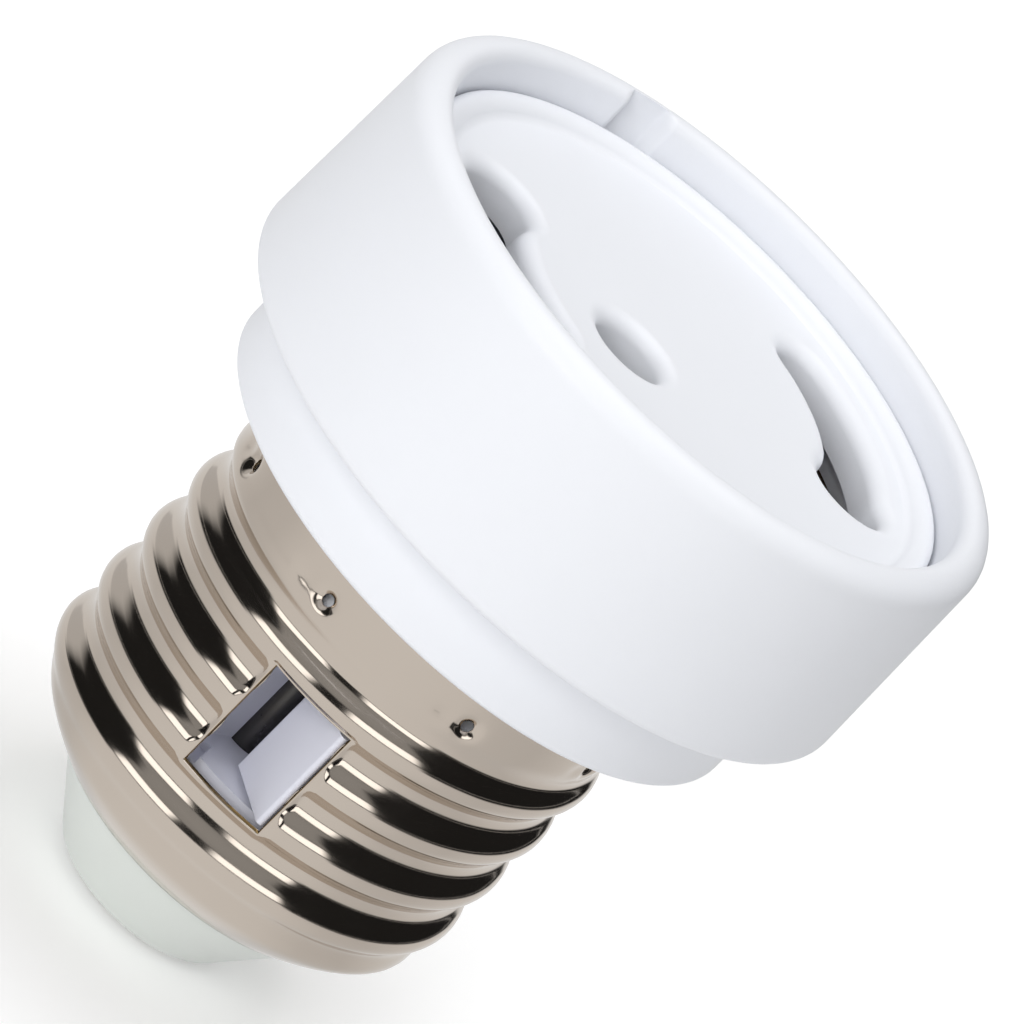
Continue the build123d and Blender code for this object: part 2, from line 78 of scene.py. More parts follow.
# Brightness of the studio in reflections. Walls and the height of the light strips go by the sine of the
# height angle, the bearing of the strips by the cosine from the front, the floor by 0 behind to 1 in front.
DARK_SIDES = ((0.0, 0.5), (0.015, 0.015), (0.85, 0.015), (0.97, 0.4))
FRONT_PANEL = ((0.0, 0.8), (0.015, 0.6), (0.035, 0.02), (0.5, 0.02), (0.6, 0.33), (1.0, 0.38))
STRIP_HEIGHT = ((0.06, 0.0), (0.1, 1.0), (0.48, 1.0), (0.54, 0.0))
STRIP_BEARING = ((0.62, 0.0), (0.68, 1.0), (0.97, 1.0), (0.988, 0.0))
FLOOR_BEARING = ((0.0, 0.85), (0.3, 0.76), (0.5, 0.66), (0.7, 0.7), (0.85, 0.82), (1.0, 0.86))
STRIP_LIGHT = (1.8, 1.8, 1.8, 1)
BACKDROP_LIGHT = (0.6, 0.6, 0.6, 1)
FAR_FLOOR = (0.015, 0.015, 0.015, 1)
FAR_FLOOR_START, FAR_FLOOR_END = 0.1, 0.2  # metres from the axis over which the mirrored floor darkens

# Light on the matt pieces, and what the camera sees behind the adapter
ROOM_LIGHT = (0.4, 0.4, 0.4, 1)
WHITE = (1, 1, 1, 1)
FLOOR_GLOW = 0.25  # lifts the lit floor to white and leaves the shadow

# Soft lamps: name, place and width in metres, power in watts
LAMPS = (
    ("key", (-0.22, -0.7, 0.34), 0.4, 2.7),
    ("fill", (0.45, -0.45, 0.35), 0.4, 0.25),
    ("overhead", (0.0, 0.1, 0.75), 0.6, 2.9),
)


def linear(hex_colour):
    """Turn an sRGB hex colour into the linear values of a shader socket."""
    channels = [int(hex_colour[i:i + 2], 16) / 255 for i in (0, 2, 4)]
    return [c / 12.92 if c <= 0.04045 else ((c + 0.055) / 1.055) ** 2.4 for c in channels] + [1.0]


def colour(name, description, hex_colour):
    """Make a colour property with an sRGB hex default."""
    return FloatVectorProperty(
        name=name, description=description, subtype="COLOR", size=4, min=0, max=1, default=linear(hex_colour)
    )


def length(name, description, millimetres):
    """Make a length property from a size in millimetres."""
    return FloatProperty(
        name=name, description=description, default=millimetres * MM, unit="LENGTH", precision=5
    )


def angle(name, description, degrees):
    """Make an angle property from a size in degrees."""
    return FloatProperty(name=name, description=description, default=math.radians(degrees), unit="ROTATION")


def add(tree, kind, inputs=None, **settings):
    """Add a node with its settings, values and links."""
    node = tree.nodes.new(kind)
    for key, value in settings.items():
        setattr(node, key, value)
    for socket, value in (inputs or {}).items():
        if isinstance(value, bpy.types.NodeSocket):
            tree.links.new(value, node.inputs[socket])
        else:
            node.inputs[socket].default_value = value
    return node


def new_material(name):
    """Start a material with a plain Principled surface."""
    material = bpy.data.materials.new(name)
    material.use_nodes = True
    tree = material.node_tree
    return material, tree, tree.nodes["Principled BSDF"]


def finish_nodes(names, material):
    """Give CAD nodes a finish through their material slots."""
    for name in names:
        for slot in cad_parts[name].material_slots:
            slot.material = material


class AdapterColours(bpy.types.PropertyGroup):
    """Colours of the adapter's materials"""

    nickel: colour("Nickel", "Bright nickel plate of the screw shell", "CFC4B8")
    brass: colour("Brass", "Bare brass at the cut edges of the shell", "A68B5E")
    moulding: colour("Moulding", "White moulding of the head and its face", "EFF1F6")
    tip: colour("Tip", "Greenish white moulding of the tip", "EFF4EF")
    core: colour("Core", "White moulding of the core and the pawl", "E4E5F0")
    bronze: colour("Bronze", "Spring bronze of the contacts", "8A6A4E")
    steel: colour("Steel", "Zinc plated steel of the screws", "C4C4C6")
    # The lock shaft's steel is darkened to paint the deep shade in the gap behind the window
    shaft_steel_painted_shade: colour("Shaft steel with painted shade", "Steel of the lock shaft, darkened to paint the shade in the gap behind the window", "5A5856")
    sleeve: colour("Sleeve", "Sleeve of the leads", "E6E2D8")
    solder: colour("Solder", "Solder at the shell lead", "B9BABC")
    floor: colour("Floor", "Pale studio floor", "F7F7F7")


class AdapterShell(bpy.types.PropertyGroup):
    """Sizes of the rolled screw shell"""

    wall: length("Wall", "Thickness of the brass", 0.35)
    lip_radius: length("Lip radius", "Radius where the shell grips the tip", 9.6)
    flare_height: length("Flare height", "Height over which the lip opens out", 3.4)
    crest_radius: length("Crest radius", "Radius over the thread's crests", 13.1)
    thread_depth: length("Thread depth", "Depth from crest to root", 0.82)
    thread_pitch: length("Pitch", "Rise of the thread in one turn", 3.63)
    crest_rise: length("Crest rise", "Height of the lowest crest at the window side above the lip", 4.5)
    fade_in_rise: length("Start of thread", "Height above the lip where the thread begins", 1.6)
    fade_in_height: length("Run-in", "Height over which the thread deepens", 2.8)
    fade_out_drop: length("End of thread", "Drop below the collar where the thread begins to fade", 5.9)
    fade_out_height: length("Run-out", "Height over which the thread fades", 2.9)
    skirt_radius: length("Skirt radius", "Radius of the plain skirt under the collar", 12.8)
    window_width: length("Window width", "Width of the lock window", 5.4)
    window_height: length("Window height", "Height of the lock window", 7.35)
    window_rise: length("Window rise", "Height of the window above the lip", 7.35)
    window_lip: length("Window lip", "Width of the plain band at the window's edge", 0.08)
    window_margin: length("Window margin", "Width of the band round the lip where the ridges die out", 0.25)
    stake_radius: length("Stake radius", "Radius of the punched stake holes", 0.34)
    stake_drop: length("Stake drop", "Drop of the stake holes below the collar", 3.2)
    stake_turn: angle("Stake turn", "Angle of the first stake from the window", -14.5)
    stake_count: IntProperty(name="Stakes", description="Number of stake holes", default=8)
    dent_depth: length("Dent depth", "Depth of the dent that each stake leaves", 0.5)
    dent_radius: length("Dent radius", "Reach of the dent round a stake", 0.52)
    mark_depth: length("Mark depth", "Depth of the mark that the staking tool leaves beside a dent", 0.15)
    mark_offset: length("Mark offset", "Distance of the tool's mark from the stake", 1.5)
    mark_radius: length("Mark radius", "Reach of the tool's mark", 0.5)
    mark_stretch: FloatProperty(
        name="Mark stretch", description="Length of the tool's mark over its width", default=1.6
    )
    wave_depth: length("Wave depth", "Depth of the unevenness that rolling leaves", 0.012)
    wave_length: length("Wave length", "Length of the unevenness that rolling leaves", 2.6)


class AdapterHead(bpy.types.PropertyGroup):
    """Sizes of the housing"""

    sleeve_radius: length("Sleeve radius", "Outside of the sleeve in the shell", 12.35)
    sleeve_wall: length("Sleeve wall", "Thickness of the sleeve", 1.2)
    groove_depth: length("Groove depth", "Depth of the groove that the stakes press into", 0.7)
    groove_width: length("Groove width", "Width of the groove that the stakes press into", 1.2)
    collar_radius: length("Collar radius", "Outside of the collar", 16.7)
    collar_bore: length("Collar bore", "Inside of the collar", 14.7)
    collar_height: length("Collar height", "Height of the collar", 5.1)
    collar_round: length("Collar rounding", "Rounding at the foot of the collar", 0.5)
    floor_height: length("Floor height", "Thickness of the floors in the housing", 1.8)
    foot_radius: length("Foot radius", "Outside of the head at its foot", 19.77)
    foot_round: length("Foot rounding", "Rounding at the foot of the head", 0.8)
    top_radius: length("Top radius", "Outside of the head at its top", 19.35)
    rim_outer_round: length("Outer rim rounding", "Rounding outside the rim", 1.3)
    rim_inner_round: length("Inner rim rounding", "Rounding inside the rim", 0.72)
    rim_radius: length("Rim radius", "Inside of the rim", 17.25)
    notch_depth: length("Notch depth", "Depth of the notch in the rim's inner wall", 0.8)
    notch_width: length("Notch width", "Width of the notch", 2.8)
    notch_drop: length("Notch drop", "Drop of the notch's floor below the rim", 5.85)
    notch_turn: angle("Notch turn", "Angle of the notch round the axis", 125.0)


class AdapterFace(bpy.types.PropertyGroup):
    """Sizes of the socket face"""

    drop: length("Drop", "Drop of the face below the rim", 2.85)
    plate: length("Plate", "Thickness of the face", 2.3)
    skirt: length("Skirt", "Thickness of the wall that the face stands on", 1.4)
    gap: length("Gap", "Gap between the face and the rim", 0.12)
    bead_radius: length("Bead radius", "Inside of the bead at its foot", 15.24)
    bead_height: length("Bead height", "Height of the bead round the face", 0.65)
    bead_slope: length("Bead slope", "Width of the bead's inner slope", 0.5)
    bead_round: length("Bead rounding", "Rounding of the bead's edges", 0.55)
    foot_round: length("Foot rounding", "Rounding where the bead rises from the face", 0.3)
    pin_offset: length("Pin offset", "Distance of the lamp's pins from the axis", 12.0)
    entry_radius: length("Entry radius", "Radius of the round end of a keyhole", 2.2)
    entry_turn: angle("Entry turn", "Angle of the round end of a keyhole", 14.0)
    slot_turn: angle("Slot turn", "Angle from the round end to the narrow end", 50.0)
    slot_width: length("Slot width", "Width of the narrow end of a keyhole", 3.3)
    slot_round: length("Slot rounding", "Rounding of the edges of the holes", 0.9)
    cusp_round: length("Cusp rounding", "Rounding between the ends of a keyhole", 1.4)
    access_radius: length("Access radius", "Radius of the hole over the lock", 2.15)
    access_x: length("Access X", "Place of the hole over the lock", -1.4)
    access_y: length("Access Y", "Place of the hole over the lock", -4.9)
    key_height: length("Key height", "Height of the key in the rim's notch", 1.5)
    key_drop: length("Key drop", "Drop of the key below the face", 1.35)
    key_gap: length("Key gap", "Gap between the key and the notch", 0.15)


class AdapterSizes(bpy.types.PropertyGroup):
    """Sizes of surface detail and of the stage"""

    # The real grain and drawing lines are several times finer and wouldn't show, so both are drawn coarser
    mould_grain: length("Mould grain", "Grain of the eroded mould", 0.22)
    draw_line: length("Draw line", "Spacing of the drawing lines on the shell", 0.35)
    draw_length: length("Draw length", "Length of the drawing lines on the shell", 33.3)
    plate_cloud: length("Plate cloud", "Width of the clouds in the nickel plate", 3.85)
    metal_cloud: length("Metal cloud", "Width of the clouds on small metal pieces", 1.43)
    flow_mark: length("Flow mark", "Width of the faint shades that the flow of the melt leaves", 11.1)
    camera_distance: length("Camera distance", "Distance from the camera to the adapter", 500.0)
    camera_height: length("Aim height", "Height of the point the camera looks at", 30.4)
    camera_lens: FloatProperty(name="Lens", description="Focal length in millimetres", default=341.4)
    camera_elevation: angle("Elevation", "Angle of the camera above the floor", 22.2)
    camera_azimuth: angle("Azimuth", "Angle of the camera from the window side", 1.5)
    camera_roll: angle("Roll", "Tilt of the picture", 44.8)
    floor_width: length("Floor width", "Width of the studio floor", 4000.0)


def nickel_plated_brass(colours, sizes):
    """Rolled brass under bright nickel: a warm mirror with faint drawing lines round the axis."""
    material, tree, surface = new_material("nickel_plated_brass")
    place = add(tree, "ShaderNodeTexCoord").outputs["Object"]
    stretch = (1 / sizes.draw_length, 1 / sizes.draw_length, 1 / sizes.draw_line)
    stretched = add(tree, "ShaderNodeMapping", {"Vector": place, "Scale": stretch}).outputs[0]
    lines = add(tree, "ShaderNodeTexNoise", {"Vector": stretched, "Scale": 1.0, "Detail": 2.0})
    clouds = add(tree, "ShaderNodeTexNoise", {"Vector": place, "Scale": 1 / sizes.plate_cloud, "Detail": 3.0})
    rough = add(
        tree, "ShaderNodeMapRange",
        {"Value": clouds.outputs["Fac"], "From Min": 0.3, "From Max": 0.7, "To Min": 0.09, "To Max": 0.15},
    )
    bump = add(
        tree, "ShaderNodeBump", {"Height": lines.outputs["Fac"], "Strength": 0.05, "Distance": 0.02 * MM}
    )
    surface.inputs["Base Color"].default_value = colours.nickel
    surface.inputs["Metallic"].default_value = 1.0
    tree.links.new(rough.outputs[0], surface.inputs["Roughness"])
    tree.links.new(bump.outputs[0], surface.inputs["Normal"])
    return material


def moulded_plastic(name, tint, sizes, roughness):
    """Moulded PBT or silicone: satin, with the fine grain of an eroded mould and faint shades of flow."""
    material, tree, surface = new_material(name)
    place = add(tree, "ShaderNodeTexCoord").outputs["Object"]
    grain = add(tree, "ShaderNodeTexNoise", {"Vector": place, "Scale": 1 / sizes.mould_grain, "Detail": 2.0})
    flow = add(tree, "ShaderNodeTexNoise", {"Vector": place, "Scale": 1 / sizes.flow_mark, "Detail": 2.0})
    shaded = [c * 0.97 for c in tint[:3]] + [1.0]
    shade = add(
        tree, "ShaderNodeMix", {"Factor": flow.outputs["Fac"], "A": shaded, "B": list(tint)}, data_type="RGBA"
    )
    bump = add(
        tree, "ShaderNodeBump", {"Height": grain.outputs["Fac"], "Strength": 0.12, "Distance": 0.03 * MM}
    )
    tree.links.new(shade.outputs["Result"], surface.inputs["Base Color"])
    surface.inputs["Roughness"].default_value = roughness
    surface.inputs["IOR"].default_value = 1.55
    tree.links.new(bump.outputs[0], surface.inputs["Normal"])
    return material


def clouded_metal(name, tint, sizes, roughness):
    """Small stamped, turned or cut metal: a dull sheen with slight clouds."""
    material, tree, surface = new_material(name)
    place = add(tree, "ShaderNodeTexCoord").outputs["Object"]
    clouds = add(tree, "ShaderNodeTexNoise", {"Vector": place, "Scale": 1 / sizes.metal_cloud, "Detail": 3.0})
    rough = add(
        tree, "ShaderNodeMapRange",
        {"Value": clouds.outputs["Fac"], "To Min": roughness - 0.08, "To Max": roughness + 0.08},
    )
    surface.inputs["Base Color"].default_value = tint
    surface.inputs["Metallic"].default_value = 1.0
    tree.links.new(rough.outputs[0], surface.inputs["Roughness"])
    return material


def smooth(share):
    """Ease from 0 to 1."""
    held = min(max(share, 0.0), 1.0)
    return held * held * (3 - 2 * held)


def spin_profile(sheet, corners, steps):
    """Round a profile's corners, each a radius, a height and a rounding, and spin it round the axis."""
    verts = [sheet.verts.new((radius, 0, height)) for radius, height, _ in corners]
    sheet.faces.new(verts)
    for vert, (_, _, rounding) in zip(verts, corners):
        if rounding:
            bmesh.ops.bevel(
                sheet, geom=[vert], affect="VERTICES", offset=rounding, segments=ROUND_STEPS, profile=0.5,
                material=-1
            )
    bmesh.ops.delete(sheet, geom=sheet.faces[:], context="FACES_ONLY")
    bmesh.ops.spin(
        sheet, geom=sheet.verts[:] + sheet.edges[:], cent=(0, 0, 0), axis=(0, 0, 1), angle=2 * math.pi,
        steps=steps, use_merge=True
    )


def new_piece(name, sheet, materials):
    """Merge a mesh's doubles, turn its faces outwards and make a smooth piece of it."""
    bmesh.ops.remove_doubles(sheet, verts=sheet.verts, dist=MERGE)
    bmesh.ops.recalc_face_normals(sheet, faces=sheet.faces)
    mesh = bpy.data.meshes.new(name)
    sheet.to_mesh(mesh)
    sheet.free()
    mesh.shade_smooth()
    for material in materials:
        mesh.materials.append(material)
    piece = bpy.data.objects.new(name, mesh)
    bpy.context.scene.collection.objects.link(piece)
    return piece


class ADAPTER_OT_shell(bpy.types.Operator):
    """Roll the screw shell, with its window and stakes, and plate it with the tip contact"""

    bl_idname = "adapter.shell"
    bl_label = "Roll shell"

    columns: IntProperty(name="Columns", description="Faces round the shell", default=288)
    rows: IntProperty(name="Rows", description="Faces up the shell", default=100)

    def execute(self, context):
        scene = context.scene
        colours, sizes, shell = scene.adapter_colours, scene.adapter_sizes, scene.adapter_shell
        low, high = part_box("screw_shell")
        self.lip, self.top = low.z, high.z
        self.mean = shell.crest_radius - shell.thread_depth / 2
        plate = nickel_plated_brass(colours, sizes)
        cut_edge = clouded_metal("cut_brass", colours.brass, sizes, roughness=0.35)  # thin dull gold lines
        sheet = bmesh.new()
        self.cut_blank(sheet, shell)
        self.roll(sheet, shell)
        piece = new_piece("rolled_shell", sheet, (plate, cut_edge))
        wall = piece.modifiers.new("wall", "SOLIDIFY")
        wall.thickness = shell.wall
        wall.offset = -1.0
        wall.material_offset_rim = 1
        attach(piece, "adapter")
        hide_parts("screw_shell")
        finish_nodes(["screw_shell", "centre_contact"], plate)
        return {"FINISHED"}

    def window(self, shell):
        """Half angle, bottom and top of the window."""
        half = math.asin(shell.window_width / 2 / self.mean)
        bottom = self.lip + shell.window_rise
        return half, bottom, bottom + shell.window_height

    def stakes(self, shell):
        """Angle and height of each stake hole."""
        step = 2 * math.pi / shell.stake_count
        turns = [shell.stake_turn + step * k for k in range(shell.stake_count)]
        return [((turn + math.pi) % (2 * math.pi) - math.pi, self.top - shell.stake_drop) for turn in turns]

    def cut_blank(self, sheet, shell):
        """Cut the flat blank: x is the arc from the window's middle, y the height."""
        half, bottom, top = self.window(shell)
        width = 2 * math.pi * self.mean
        bmesh.ops.create_grid(sheet, x_segments=self.columns, y_segments=self.rows, size=0.5)
        bmesh.ops.scale(sheet, verts=sheet.verts, vec=(width, self.top - self.lip, 1))
        bmesh.ops.translate(sheet, verts=sheet.verts, vec=(0, (self.top + self.lip) / 2, 0))
        lines = []
        for lip in (0, shell.window_lip):
            side = half * self.mean + lip
            lines += [((side, 0, 0), (1, 0, 0)), ((-side, 0, 0), (1, 0, 0))]
            lines += [((0, bottom - lip, 0), (0, 1, 0)), ((0, top + lip, 0), (0, 1, 0))]
        for place, across in lines:
            everything = sheet.verts[:] + sheet.edges[:] + sheet.faces[:]
            bmesh.ops.bisect_plane(sheet, geom=everything, plane_co=place, plane_no=across, dist=MERGE)
        cut = []
        for face in sheet.faces:
            centre = face.calc_center_median()
            if abs(centre.x) < half * self.mean and bottom < centre.y < top:
                cut.append(face)
        bmesh.ops.delete(sheet, geom=cut, context="FACES")
        for turn, height in self.stakes(shell):
            self.punch(sheet, Vector((turn * self.mean, height, 0)), shell)

    def punch(self, sheet, place, shell):
        """Refine the blank round a stake and punch its hole."""

        def within(reach):
            return [f for f in sheet.faces if (f.calc_center_median() - place).length < reach]

        for reach in REFINED_REACHES:
            near = {edge for face in within(reach * shell.dent_radius) for edge in face.edges}
            bmesh.ops.subdivide_edges(sheet, edges=list(near), cuts=REFINED_CUTS, use_grid_fill=True)
        bmesh.ops.delete(sheet, geom=within(shell.stake_radius), context="FACES")

    def roll(self, sheet, shell):
        """Bend the blank round the axis and press the thread, the dents and the tool's marks into it."""
        stakes = self.stakes(shell)
        for vert in sheet.verts:
            turn, height = vert.co.x / self.mean, vert.co.y
            radius = self.radius(shell, turn, height)
            for stake_turn, stake_height in stakes:
                aside, above = (turn - stake_turn) * self.mean, height - stake_height
                gap = math.hypot(aside, above)
                radius -= shell.dent_depth * math.exp(-(gap / shell.dent_radius) ** 2)
                gap = math.hypot((aside + shell.mark_offset) / shell.mark_stretch, above)
                radius -= shell.mark_depth * math.exp(-(gap / shell.mark_radius) ** 2)
            rolled = Vector((radius * math.sin(turn), -radius * math.cos(turn), height))
            radius += shell.wave_depth * noise.noise(rolled / shell.wave_length)
            vert.co = (radius * math.sin(turn), -radius * math.cos(turn), height)

    def radius(self, shell, turn, height):
        """Radius of the shell's outside at an angle from the window and a height."""
        rise = height - self.lip
        flare = math.sin(math.pi / 2 * min(rise / shell.flare_height, 1.0))
        faded = smooth((height - self.top + shell.fade_out_drop) / shell.fade_out_height)
        grown = smooth((rise - shell.fade_in_rise) / shell.fade_in_height)
        plain = shell.lip_radius + (self.mean - shell.lip_radius) * flare
        plain += (shell.skirt_radius - self.mean) * faded
        turns = (rise - shell.crest_rise) / shell.thread_pitch - turn / (2 * math.pi)
        ridge = grown * (1 - faded) * self.ridge(shell, turns)
        half, bottom, top = self.window(shell)
        aside = max(abs(turn) - half, 0) * self.mean
        above = max(bottom - height, height - top, 0)
        return plain + ridge * smooth((math.hypot(aside, above) - shell.window_lip) / shell.window_margin)

    def ridge(self, shell, turns):
        """Height of the thread at a number of turns from a crest: crest and root are arcs of one size."""
        reach = shell.thread_pitch / 4
        depth = shell.thread_depth / 2
        arc = (reach ** 2 + depth ** 2) / (2 * depth)
        aside = abs((turns + 0.5) % 1.0 - 0.5) * shell.thread_pitch
        if aside <= reach:
            return depth - arc + math.sqrt(arc ** 2 - aside ** 2)
        return arc - depth - math.sqrt(arc ** 2 - (2 * reach - aside) ** 2)


class ADAPTER_OT_head(bpy.types.Operator):
    """Turn the housing with its rim"""

    bl_idname = "adapter.head"
    bl_label = "Turn head"

    steps: IntProperty(name="Steps", description="Faces round the head", default=360)

    def execute(self, context):
        scene = context.scene
        head = scene.adapter_head
        foot, top = (corner.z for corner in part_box("housing"))
        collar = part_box("screw_shell")[1].z
        stakes = collar - scene.adapter_shell.stake_drop
        tint, sizes = scene.adapter_colours.moulding, scene.adapter_sizes
        # Soft highlights and pale shades on the head
        plastic = moulded_plastic("moulded_white_pbt", tint, sizes, roughness=0.42)
        sheet = bmesh.new()
        spin_profile(sheet, self.profile(head, foot, collar, stakes, top), self.steps)
        housing = new_piece("moulded_housing", sheet, (plastic,))
        housing.data.set_sharp_from_angle(angle=SHARP)
        self.cut_notch(housing.data, head, top)
        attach(housing, "adapter")
        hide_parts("housing")
        finish_nodes(["housing"], plastic)
        return {"FINISHED"}

    def profile(self, head, foot, collar, stakes, top):
        """Corners of the housing's profile: radius, height and rounding."""
        bore = head.sleeve_radius - head.sleeve_wall
        groove = head.sleeve_radius - head.groove_depth
        low, high = stakes - head.groove_width / 2, stakes + head.groove_width / 2
        neck = collar + head.collar_height
        notch = top - head.notch_drop
        return (
            (bore, foot, 0), (head.sleeve_radius, foot, 0),
            (head.sleeve_radius, low, 0), (groove, low, 0), (groove, high, 0), (head.sleeve_radius, high, 0),
            (head.sleeve_radius, collar, 0), (head.collar_radius, collar, head.collar_round),
            (head.collar_radius, neck, 0), (head.foot_radius, neck, head.foot_round),
            (head.top_radius, top, head.rim_outer_round), (head.rim_radius, top, head.rim_inner_round),
            (head.rim_radius, notch, 0), (head.rim_radius, notch - NOTCH_STEP, 0),
            (head.rim_radius, neck + head.floor_height, 0), (head.collar_bore, neck + head.floor_height, 0),
            (head.collar_bore, collar + head.floor_height, 0), (bore, collar + head.floor_height, 0),
        )

    def cut_notch(self, mesh, head, top):
        """Press the notch into the rim's inner wall."""
        wall = head.rim_radius + head.notch_depth
        middle = Vector((math.cos(head.notch_turn), math.sin(head.notch_turn)))
        for vert in mesh.vertices:
            level = vert.co.to_2d()
            aside = abs(level.cross(middle))
            inner = head.rim_radius - SLACK < level.length < wall
            above = vert.co.z > top - head.notch_drop - SLACK
            if inner and above and aside < head.notch_width / 2 and level.dot(middle) > 0:
                level = level.normalized() * wall
                vert.co = (level.x, level.y, vert.co.z)


class ADAPTER_OT_face(bpy.types.Operator):
    """Mould the socket face with its bead, its keyholes and the hole over the lock"""

    bl_idname = "adapter.face"
    bl_label = "Mould face"

    steps: IntProperty(name="Steps", description="Faces round the face", default=180)

    def execute(self, context):
        scene = context.scene
        face, head = scene.adapter_face, scene.adapter_head
        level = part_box("housing")[1].z - face.drop
        sheet = bmesh.new()
        self.ring(sheet, face, head, level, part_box("socket_face")[0].z)
        for half_turn in (0, math.pi):
            self.sink(sheet, face, self.keyhole(face, face.entry_turn + half_turn), level)
        self.sink(sheet, face, self.access(face), level)
        self.close(sheet, level, 1)
        self.close(sheet, level - face.plate, -1)
        self.key(sheet, face, head, level)
        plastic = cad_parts["housing"].material_slots[0].material
        piece = new_piece("moulded_face", sheet, (plastic,))
        piece.data.set_sharp_from_angle(angle=SHARP)
        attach(piece, "adapter")
        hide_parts("socket_face")
        finish_nodes(["socket_face"], plastic)
        return {"FINISHED"}

    def ring(self, sheet, face, head, level, foot):
        """Turn the bead and the skirt, open towards the plate."""
        edge = head.rim_radius - face.gap
        rise = face.bead_radius + face.foot_round
        crown = level + face.bead_height
        plate = level - face.plate
        inner = face.bead_radius - SUPPORT
        spin_profile(sheet, (
            (inner, level, 0), (rise, level, face.foot_round),
            (rise + face.bead_slope, crown, face.bead_round), (edge, crown, face.bead_round),
            (edge, foot, 0), (edge - face.skirt, foot, 0), (edge - face.skirt, plate, 0), (inner, plate, 0),
        ), self.steps)
        tube = [f for f in sheet.faces if all(v.co.to_2d().length < inner + MERGE for v in f.verts)]
        bmesh.ops.delete(sheet, geom=tube, context="FACES")

    def access(self, face):
        """Outline of the hole over the lock at the outside of its rounded edge."""
        sheet = bmesh.new()
        bmesh.ops.create_circle(
            sheet, segments=ACCESS_STEPS, radius=face.access_radius + face.slot_round, cap_ends=True,
            matrix=Matrix.Translation((face.access_x, face.access_y, 0))
        )
        return self.outline(sheet)

    def keyhole(self, face, turn_by):
        """Outline of a keyhole at the outside of its rounded edge."""
        reach = face.entry_radius + face.slot_round
        half = face.slot_width / 2 + face.slot_round
        offset, end_turn = face.pin_offset, face.slot_turn
        inner, outer = offset - half, offset + half

        def polar(radius, turn):
            return Vector((radius * math.cos(turn), radius * math.sin(turn), 0))

        def arc(centre, radius, start, end, count):
            return [centre + polar(radius, start + (end - start) * k / count) for k in range(count + 1)]

        def cusp(radius):
            return math.acos((offset ** 2 + radius ** 2 - reach ** 2) / (2 * offset * radius))

        axis, entry = Vector(), polar(offset, 0)
        first, last = polar(outer, cusp(outer)) - entry, polar(inner, cusp(inner)) - entry
        start, end = math.atan2(first.y, first.x), math.atan2(last.y, last.x) - 2 * math.pi
        points = arc(entry, reach, start, end, ENTRY_STEPS)
        points += arc(axis, inner, cusp(inner), end_turn, INNER_STEPS)[1:-1]
        points += arc(polar(offset, end_turn), half, end_turn + math.pi, end_turn, END_STEPS)
        points += arc(axis, outer, end_turn, cusp(outer), OUTER_STEPS)[1:-1]
        sheet = bmesh.new()
        verts = [sheet.verts.new(Matrix.Rotation(turn_by, 3, "Z") @ point) for point in points]
        sheet.faces.new(verts)
        bmesh.ops.bevel(
            sheet, geom=[verts[0], verts[ENTRY_STEPS]], affect="VERTICES", offset=face.cusp_round,
            segments=ROUND_STEPS, profile=0.5, material=-1
        )
        return self.outline(sheet)

    def outline(self, sheet):
        """Points round the only face of a mesh, which is then freed."""
        sheet.faces.ensure_lookup_table()
        points = [vert.co.to_2d() for vert in sheet.faces[0].verts]
        sheet.free()
        return points

    def sink(self, sheet, face, outline, level):
        """Sink a hole with a rounded edge through the plate."""
        hole = sheet.faces.new([sheet.verts.new((point.x, point.y, level)) for point in outline])
        hole.normal_update()
        if hole.normal.z < 0:
            hole.normal_flip()
        bmesh.ops.inset_region(
            sheet, faces=[hole], thickness=SUPPORT, use_even_offset=True, use_boundary=True
        )
        quarter = math.pi / 2 / ROUND_STEPS
        for k in range(ROUND_STEPS):
            across = math.sin(quarter * (k + 1)) - math.sin(quarter * k)
            down = math.cos(quarter * k) - math.cos(quarter * (k + 1))
            bmesh.ops.inset_region(
                sheet, faces=[hole], thickness=face.slot_round * across, depth=-face.slot_round * down,
                use_even_offset=True, use_boundary=True
            )
        grown = bmesh.ops.extrude_discrete_faces(sheet, faces=[hole])["faces"]
        drop = (0, 0, face.slot_round - face.plate)
        bmesh.ops.translate(sheet, verts=grown[0].verts[:], vec=drop)
        bmesh.ops.delete(sheet, geom=grown, context="FACES_ONLY")

    def close(self, sheet, height, up):
        """Fill the plate between its ring and its holes at a height."""
        edges = []
        for edge in sheet.edges:
            if edge.is_boundary and all(abs(vert.co.z - height) < MERGE for vert in edge.verts):
                edges.append(edge)
        bmesh.ops.triangle_fill(sheet, edges=edges, use_beauty=True, normal=(0, 0, up))

    def key(self, sheet, face, head, level):
        """Set the key that fits the rim's notch on the skirt."""
        inside = head.rim_radius - face.gap - face.skirt / 2
        outside = head.rim_radius + head.notch_depth - face.key_gap
        size = (outside - inside, head.notch_width - 2 * face.key_gap, face.key_height, 1)
        place = Matrix.Translation(((inside + outside) / 2, 0, level - face.key_drop - face.key_height / 2))
        bmesh.ops.create_cube(
            sheet, size=1, matrix=Matrix.Rotation(head.notch_turn, 4, "Z") @ place @ Matrix.Diagonal(size)
        )


class ADAPTER_OT_mouldings(bpy.types.Operator):
    """Finish the inner mouldings: tip, core and pawl"""

    bl_idname = "adapter.mouldings"
    bl_label = "Finish mouldings"

    def execute(self, context):
        colours, sizes = context.scene.adapter_colours, context.scene.adapter_sizes
        # Greenish, and a little glossier than the head
        tip = moulded_plastic("moulded_tip_pbt", colours.tip, sizes, roughness=0.34)
        # Cool white in the shade behind the window
        core = moulded_plastic("moulded_core_pbt", colours.core, sizes, roughness=0.4)
        finish_nodes(["tip_insulator"], tip)
        finish_nodes(["core_block", "lock_pawl"], core)
        return {"FINISHED"}


